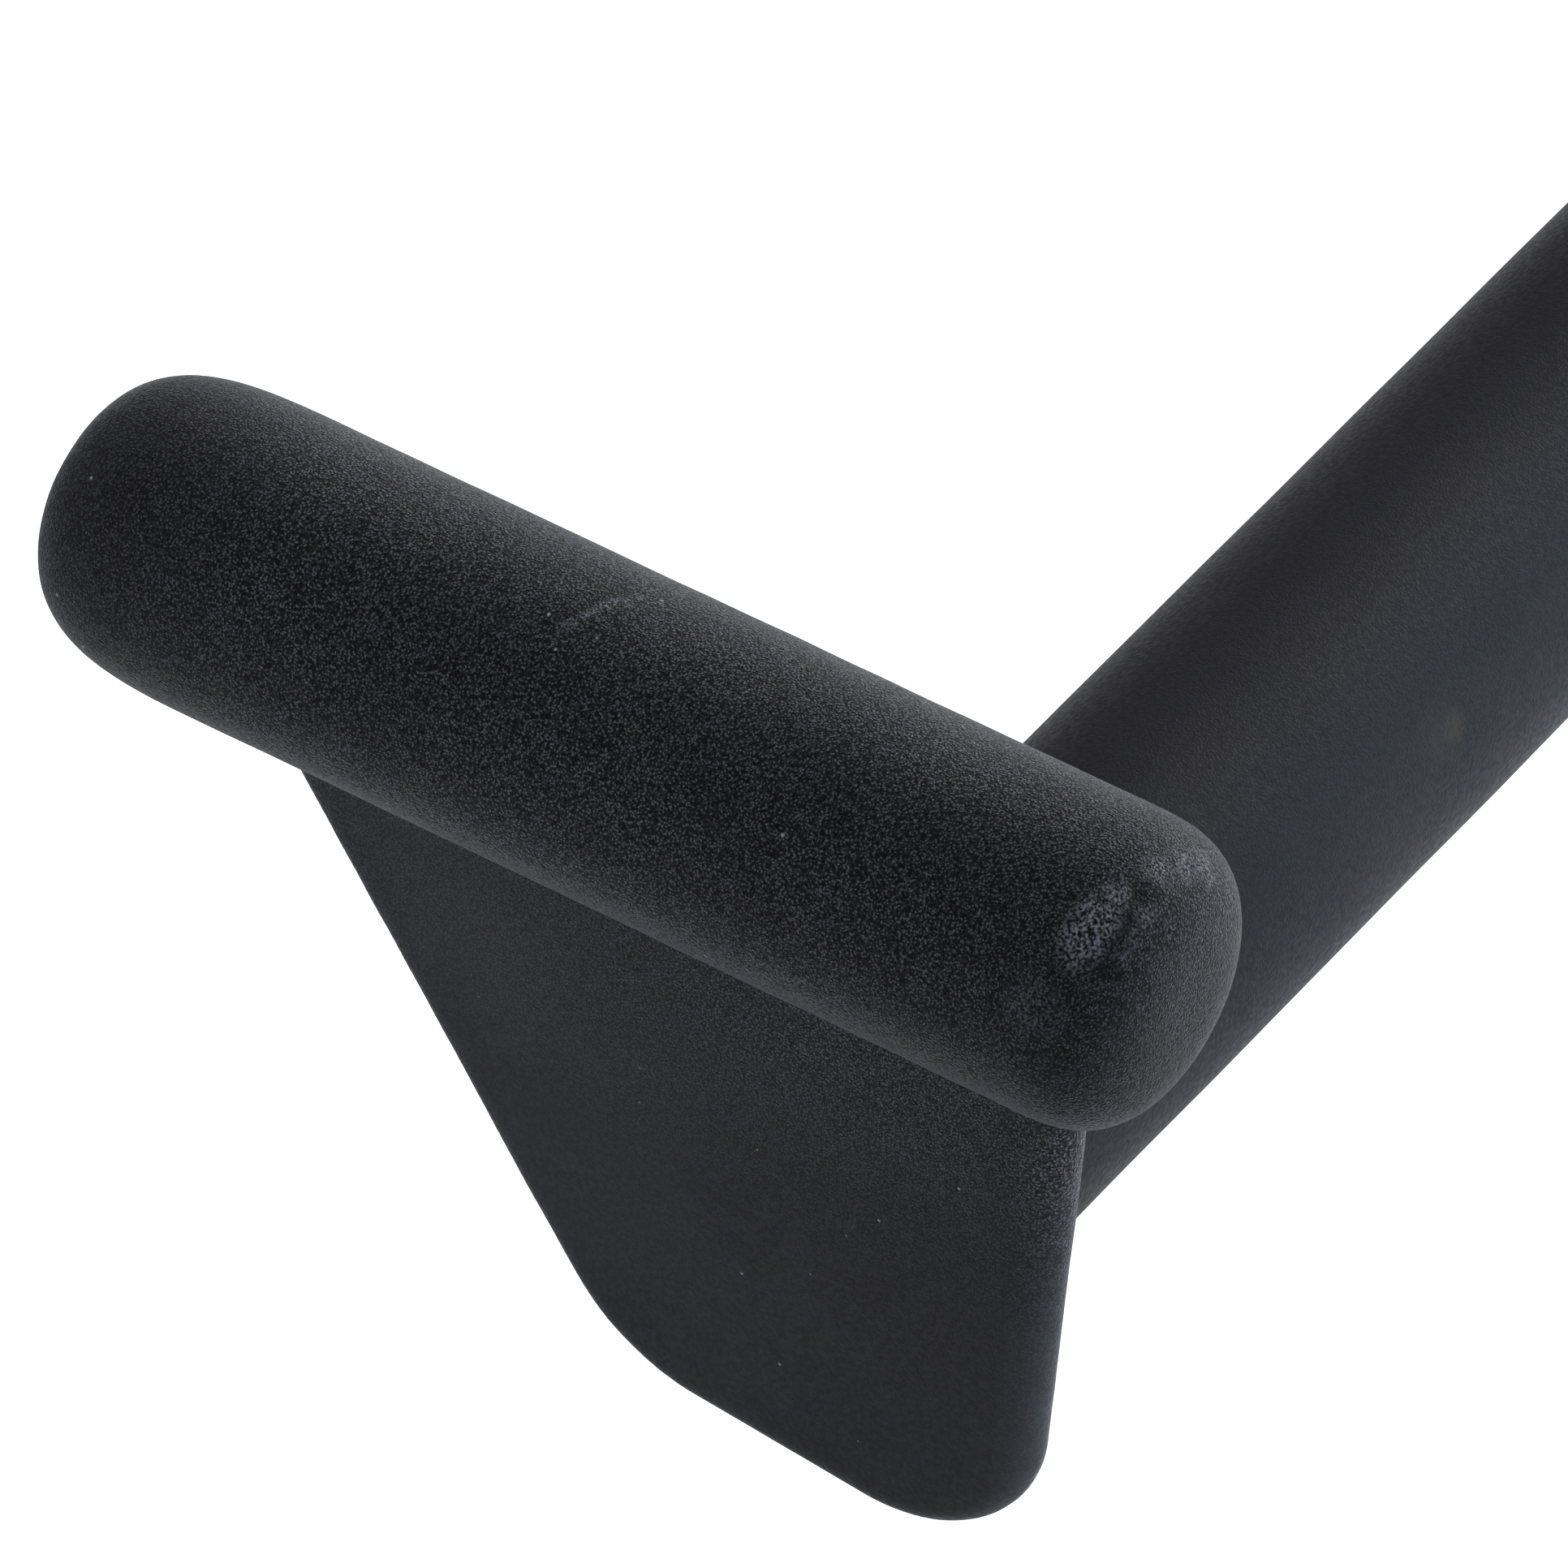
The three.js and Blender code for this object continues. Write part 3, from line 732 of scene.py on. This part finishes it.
def nut_field(p):
    """Hexagon with chamfered corners and a round neck below it."""
    x, y, z = p.T
    hexagon = np.max([np.abs(x * math.cos(a) + y * math.sin(a)) for a in np.radians((0, 60, 120))], axis=0)
    r = np.hypot(x, y)
    hex_low = NUT_HIGH - NUT_HEX
    ends = np.maximum(z - NUT_HIGH, hex_low - z)
    chamfer = (r + NUT_CHAMFER * ends - NUT_FLATS * NUT_CORNER) / math.hypot(1, NUT_CHAMFER)
    body = np.maximum(np.maximum(hexagon - NUT_FLATS / 2, ends), chamfer)
    neck_high = hex_low + 2 * MM
    neck = rounded_box(r - NUT_NECK_R, np.abs(z - (NUT_LOW + neck_high) / 2) - (neck_high - NUT_LOW) / 2,
                       0.9 * MM)
    return np.maximum(np.minimum(body, neck), SHANK_R + HOLE_GAP - r)


def shank_points(around=64):
    """Plain shank under the collar with a rolled thread over its lower end."""
    top, thread_top = COLLAR_LOW + 0.5 * MM, NUT_HIGH + 2 * MM
    rows = [(top, 0.0), (thread_top, 0.0)]
    count = int((thread_top - TIP) / (0.12 * MM))
    rows += [(z, 1.0) for z in np.linspace(thread_top, TIP, count)[1:]]
    points = []
    for z, cut in rows:
        lead = min(1.0, (z - TIP) / (1.0 * MM))
        for i in range(around):
            turn = i / around
            phase = (z / THREAD_PITCH + turn) % 1.0
            groove = cut * THREAD_DEPTH * (0.5 + 0.5 * math.cos(2 * math.pi * phase)) ** 1.3
            r = SHANK_R - max(groove, (1 - lead) * 1.0 * MM)
            points.append((r * math.cos(2 * math.pi * turn), r * math.sin(2 * math.pi * turn), z))
    faces = []
    for k in range(len(rows) - 1):
        for i in range(around):
            j = (i + 1) % around
            faces.append((k * around + i, (k + 1) * around + i, (k + 1) * around + j, k * around + j))
    last = (len(rows) - 1) * around
    faces.append(tuple(range(around)))
    faces.append(tuple(last + i for i in range(around))[::-1])
    return points, faces


def shell(name, field, size, material, body, node):
    """A piece netted from a field between two corners."""
    low, high = size
    low, high = np.array(low) - 2 * EYE_STEP, np.array(high) + 2 * EYE_STEP
    return place(make(name, *net(field, low, high, EYE_STEP), material), body, node)


shell("forged_eye", eye_field, ((-EYE_R, -COLLAR_R, COLLAR_LOW), (EYE_R, COLLAR_R, EYE_R)), ZINC, "hanger",
      "hanger_eye")
place(make("threaded_shank", *shank_points(), ZINC), "hanger", "hanger_eye")
shell("hexagon_nut", nut_field, (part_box("lock_nut")[0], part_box("lock_nut")[1]), ZINC, "hanger", "lock_nut")
hole, bore = SHANK_R + HOLE_GAP, SHANK_R + BUSH_GAP
for which, side in (("upper", 1), ("lower", -1)):
    low, high, radius = heights(f"{which}_washer")
    turned(f"{which}_thrust_washer", [(hole, low), (radius, low), (radius, high), (hole, high)],
           0.35 * MM, ZINC, "hanger", f"{which}_washer")
    low, high, radius = heights(f"{which}_bush")
    end, face = (low, high) if which == "upper" else (high, low)
    back = face - side * BUSH_FLANGE
    turned(f"{which}_flanged_bush", [(bore, end), (BUSH_WALL_R, end), (BUSH_WALL_R, back), (radius, back),
                                     (radius, face), (bore, face)],
           0.3 * MM, BRONZE, "bar", f"{which}_bush", side)
low, high, radius = heights("swivel_hub")
turned("turned_hub", [(HUB_BORE_R, low), (radius, low), (radius, high), (HUB_BORE_R, high)],
       0.8 * MM, STEEL, "bar", "swivel_hub")
low, high, radius = heights("nut_ring")
turned("nylon_ring", [(hole, low), (radius, low), (radius, high), (hole, high)],
       0.3 * MM, NYLON, "hanger", "nut_ring")

# ---------------------------------------------------------------- finishes of the CAD pieces
FINISH = {"frame_steel": STEEL, "zinc_plate": ZINC, "bronze": BRONZE, "nylon": NYLON,
          "rubber_coat": GRIP_RUBBER}
for part in frame["record"]["subparts"]:
    for holder in frame["nodes"][part["node"]].material_slots:
        holder.material = FINISH[part["material_slot"]]

# ---------------------------------------------------------------- studio
FLOOR_Z = cad_box[0][2] - 0.5
SKY = ((0.15, (1.0, 1.0, 1.0)), (0.75, (0.52, 0.53, 0.56)))   # by height: horizon, overhead
LIT_POINT = (-0.1, 0.0, 0.0)


def studio():
    """Pale floor a little way below the hanging bar, white surroundings and soft lights."""
    n = Nodes("pale_floor")
    n.link(n.mix(n.noise(6, 2.0), (0.95, 0.95, 0.95), (0.98, 0.98, 0.98)), n.shader.inputs["Base Color"])
    n.set(Roughness=0.9, Specular_IOR_Level=0.1)
    half = 12.0
    floor = make("floor", [(-half, -half, FLOOR_Z), (half, -half, FLOOR_Z), (half, half, FLOOR_Z),
                           (-half, half, FLOOR_Z)], [(0, 1, 2, 3)], n.material)
    world = bpy.data.worlds.new("studio")
    world.use_nodes = True
    background = world.node_tree.nodes["Background"]
    toward = world.node_tree.nodes.new("ShaderNodeTexCoord")
    split = world.node_tree.nodes.new("ShaderNodeSeparateXYZ")
    shade = world.node_tree.nodes.new("ShaderNodeValToRGB")
    world.node_tree.links.new(toward.outputs["Generated"], split.inputs[0])
    world.node_tree.links.new(split.outputs["Z"], shade.inputs["Fac"])
    world.node_tree.links.new(shade.outputs["Color"], background.inputs["Color"])
    for stop, (height, tint) in zip(shade.color_ramp.elements, SKY):
        stop.position, stop.color = height, (*tint, 1)
    background.inputs["Strength"].default_value = 1.06
    bpy.context.scene.world = world
    bpy.context.scene.view_settings.view_transform = "Standard"
    panel("top_light", (2.2, -0.3, 0.8), 1.6, 108, (1.0, 0.99, 1.0))
    panel("front_light", (0.3, -2.0, 0.1), 1.4, 22, (0.54, 0.76, 1.0))


def panel(name, at, size, power, tint):
    """A square light at a point, turned to the grips."""
    light = bpy.data.lights.new(name, "AREA")
    light.color = tint
    light.size = size
    light.energy = power
    lamp = bpy.data.objects.new(name, light)
    lamp.location = at
    lamp.rotation_euler = (Vector(LIT_POINT) - Vector(at)).to_track_quat("-Z", "Y").to_euler()
    bpy.context.scene.collection.objects.link(lamp)


def camera():
    """A long lens from above the left grip, level with the horizon."""
    azimuth, elevation = math.radians(-55.247), math.radians(42.907)
    lens = bpy.data.cameras.new("camera")
    lens.sensor_width = 36
    lens.lens = 484.5
    lens.clip_end = 100
    eye = bpy.data.objects.new("camera", lens)
    eye.location = (-1.58848, -0.92005, 1.51622)
    eye.rotation_euler = (math.pi / 2 - elevation, 0, azimuth)
    bpy.context.scene.collection.objects.link(eye)
    bpy.context.scene.camera = eye


studio()
camera()
